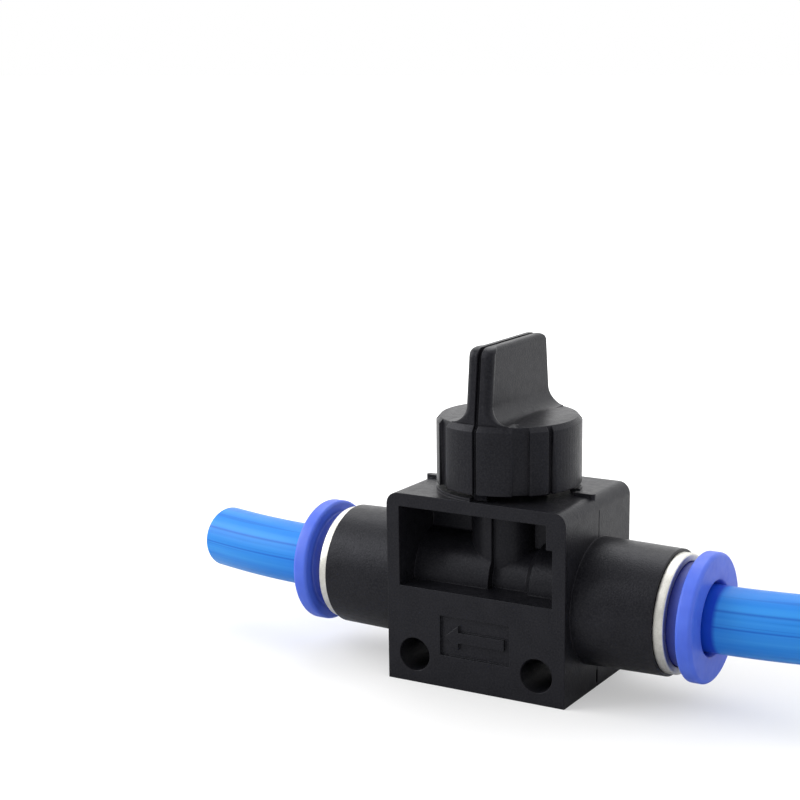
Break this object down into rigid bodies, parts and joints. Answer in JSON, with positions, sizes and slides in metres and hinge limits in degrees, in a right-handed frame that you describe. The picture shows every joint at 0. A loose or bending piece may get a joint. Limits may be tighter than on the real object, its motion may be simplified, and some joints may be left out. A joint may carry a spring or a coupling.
{
  "type": "pneumatic hand valve",
  "caption": "Inline push-in hand valve for compressed air: black windowed body with mounting holes, bladed knob on a vented rotor, blue release collets and blue tube stubs.",
  "frame": {"origin": "middle of the underside of the valve body", "axes": "+X along the flow line towards the inlet, -Y the front face with the arrow panel, +Z along the knob's axis"},
  "size_m": [0.0912, 0.018, 0.0416],
  "materials": {
    "black_plastic": "satin moulded nylon",
    "nickel": "nickel plating",
    "release_blue": "satin moulded acetal",
    "tube_blue": "translucent polyurethane",
    "spring_steel": "bright",
    "seal_rubber": "matte",
    "white_plastic": "moulded acetal",
    "brass": "turned"
  },
  "bodies": {
    "valve": {"valve_body": "black_plastic", "port_ring_left": "nickel", "port_ring_right": "nickel", "claw_ring_left": "spring_steel", "claw_ring_right": "spring_steel", "seal_backer_left": "white_plastic", "seal_backer_right": "white_plastic", "tube_seal_left": "seal_rubber", "tube_seal_right": "seal_rubber", "flow_bush_left": "brass", "flow_bush_right": "brass", "seat_left": "white_plastic", "seat_right": "white_plastic", "thrust_washer": "white_plastic", "tube_left": "tube_blue", "tube_right": "tube_blue"},
    "turning_group": {"knob": "black_plastic", "rotor": "white_plastic", "rotor_o_ring_top": "seal_rubber", "rotor_o_ring_bottom": "seal_rubber"},
    "release_left": {"collet_left": "release_blue"},
    "release_right": {"collet_right": "release_blue"}
  },
  "joints": [
    {"name": "knob_turn", "type": "hinge", "parent": "valve", "child": "turning_group", "pos_m": [0, 0, 0], "axis": [0, 0, 1], "range_deg": [0, 90]},
    {"name": "collet_push_left", "type": "slide", "parent": "valve", "child": "release_left", "axis": [1, 0, 0], "range_m": [0, 0.0015], "stiffness_N_per_m": 250},
    {"name": "collet_push_right", "type": "slide", "parent": "valve", "child": "release_right", "axis": [-1, 0, 0], "range_m": [0, 0.0015], "stiffness_N_per_m": 250}
  ]
}
